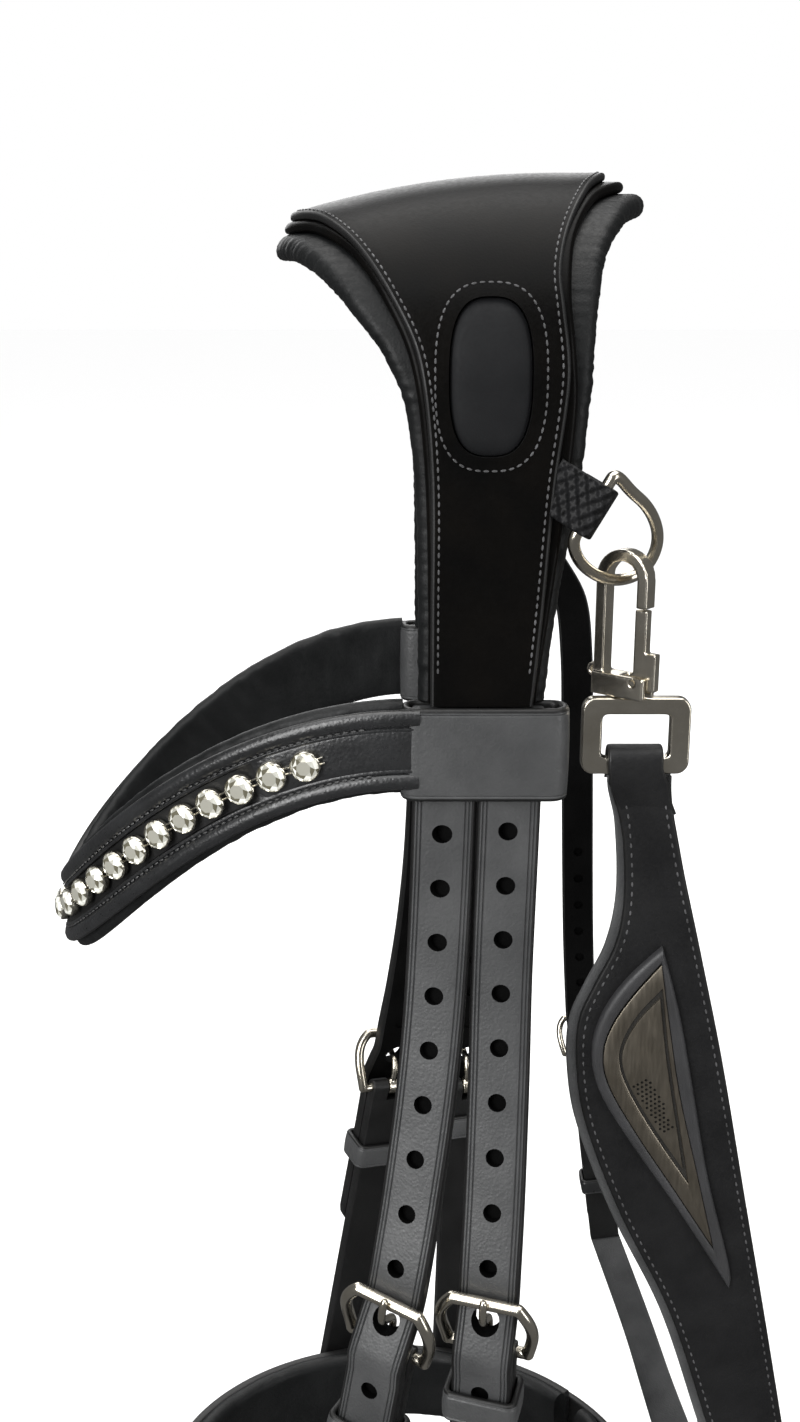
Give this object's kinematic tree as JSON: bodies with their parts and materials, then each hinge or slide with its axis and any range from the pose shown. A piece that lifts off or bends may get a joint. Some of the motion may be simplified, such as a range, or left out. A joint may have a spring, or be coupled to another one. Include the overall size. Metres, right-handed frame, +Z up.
{
  "type": "snaffle bridle",
  "caption": "Black leather snaffle bridle with padded headpiece, crystal browband, buckled cheekpieces, noseband and a clip-on throatlash with a metal badge.",
  "frame": {"origin": "middle of the headpiece's underside, where it rests on the poll or a bridle hook", "axes": "+Z up, -X the way the horse faces, -Y its near (left) side"},
  "size_m": [0.2286, 0.1638, 0.4867],
  "materials": {
    "black_leather": "smooth bridle leather, waxed",
    "grained_leather": "pebbled leather with creased edges",
    "soft_leather": "soft padded lining leather",
    "webbing": "woven nylon webbing",
    "nickel": "polished nickel",
    "badge_metal": "satin engraved metal",
    "badge_bezel": "matte dark grey rim",
    "crystal": "faceted clear stone"
  },
  "bodies": {
    "headpiece": {"browband_leather": "black_leather", "browband_lining": "soft_leather", "crown_edge_roll": "black_leather", "crown_leather": "black_leather", "crown_padding": "soft_leather", "crystal_cups": "nickel", "crystals": "crystal", "far_bit_stud": "nickel", "far_cheek_billet": "grained_leather", "far_cheek_buckle": "nickel", "far_cheek_strap": "grained_leather", "far_noseband_billet": "grained_leather", "far_noseband_buckle": "nickel", "far_noseband_strap": "grained_leather", "far_poll_pad": "grained_leather", "jaw_pad": "soft_leather", "jaw_strap": "black_leather", "near_bit_stud": "nickel", "near_cheek_billet": "grained_leather", "near_cheek_buckle": "nickel", "near_cheek_strap": "grained_leather", "near_noseband_billet": "grained_leather", "near_noseband_buckle": "nickel", "near_noseband_strap": "grained_leather", "near_poll_pad": "grained_leather", "near_ring": "nickel", "near_webbing_tab": "webbing", "noseband_leather": "black_leather", "noseband_lining": "soft_leather"},
    "near_cheek_tongue": {"near_cheek_tongue": "nickel"},
    "near_cheek_keeper": {"near_cheek_keeper": "black_leather"},
    "near_noseband_tongue": {"near_noseband_tongue": "nickel"},
    "near_noseband_keeper": {"near_noseband_keeper": "black_leather"},
    "far_cheek_tongue": {"far_cheek_tongue": "nickel"},
    "far_cheek_keeper": {"far_cheek_keeper": "black_leather"},
    "far_noseband_tongue": {"far_noseband_tongue": "nickel"},
    "far_noseband_keeper": {"far_noseband_keeper": "black_leather"},
    "throat_tongue": {"throat_tongue": "nickel"},
    "throat_keeper": {"throat_keeper": "black_leather"},
    "snap_gate": {"snap_gate": "nickel"},
    "throatlash": {"badge_bezel": "badge_bezel", "badge_plate": "badge_metal", "snap_body": "nickel", "snap_eye": "nickel", "snap_pin": "nickel", "throat_billet": "grained_leather", "throat_buckle": "nickel", "throat_buckle_strap": "black_leather", "throat_lining": "soft_leather", "throat_strap": "black_leather"}
  },
  "joints": [
    {"name": "near_cheek_tongue_lift", "type": "hinge", "parent": "headpiece", "child": "near_cheek_tongue", "pos_m": [-0.01884, -0.06907, -0.29897], "axis": [0.8797, -0.4483, -0.1585], "range_deg": [0, 4]},
    {"name": "near_cheek_keeper_slide", "type": "slide", "parent": "headpiece", "child": "near_cheek_keeper", "axis": [0.1676, -0.0197, 0.9857], "range_m": [-0.008, 0.004]},
    {"name": "near_noseband_tongue_lift", "type": "hinge", "parent": "headpiece", "child": "near_noseband_tongue", "pos_m": [0.00876, -0.06915, -0.29902], "axis": [0.9609, -0.2755, -0.0288], "range_deg": [0, 4]},
    {"name": "near_noseband_keeper_slide", "type": "slide", "parent": "headpiece", "child": "near_noseband_keeper", "axis": [0.03, 0, 0.9996], "range_m": [-0.008, 0.004]},
    {"name": "far_cheek_tongue_lift", "type": "hinge", "parent": "headpiece", "child": "far_cheek_tongue", "pos_m": [-0.01884, 0.06907, -0.29897], "axis": [-0.8797, -0.4483, 0.1585], "range_deg": [0, 4]},
    {"name": "far_cheek_keeper_slide", "type": "slide", "parent": "headpiece", "child": "far_cheek_keeper", "axis": [0.1676, 0.0197, 0.9857], "range_m": [-0.008, 0.004]},
    {"name": "far_noseband_tongue_lift", "type": "hinge", "parent": "headpiece", "child": "far_noseband_tongue", "pos_m": [0.00876, 0.06915, -0.29902], "axis": [-0.9609, -0.2755, 0.0288], "range_deg": [0, 4]},
    {"name": "far_noseband_keeper_slide", "type": "slide", "parent": "headpiece", "child": "far_noseband_keeper", "axis": [0.03, 0, 0.9996], "range_m": [-0.008, 0.004]},
    {"name": "throat_tongue_lift", "type": "hinge", "parent": "throatlash", "child": "throat_tongue", "pos_m": [0.04894, 0.04752, -0.27307], "axis": [-0.9917, 0, -0.1289], "range_deg": [0, 4]},
    {"name": "throat_keeper_slide", "type": "slide", "parent": "throatlash", "child": "throat_keeper", "axis": [-0.1289, 0, 0.9917], "range_m": [-0.006, 0.014]},
    {"name": "snap_gate_press", "type": "hinge", "parent": "throatlash", "child": "snap_gate", "pos_m": [0.04607, -0.04385, -0.11562], "axis": [-0.6428, -0.766, 0], "range_deg": [0, 18], "stiffness_Nm_per_rad": 0.02, "springref_deg": -5.73},
    {"name": "throatlash_swing", "type": "hinge", "parent": "headpiece", "child": "throatlash", "pos_m": [0.04117, -0.03973, -0.08962], "axis": [0, 1, 0], "range_deg": [-25, 0]}
  ]
}
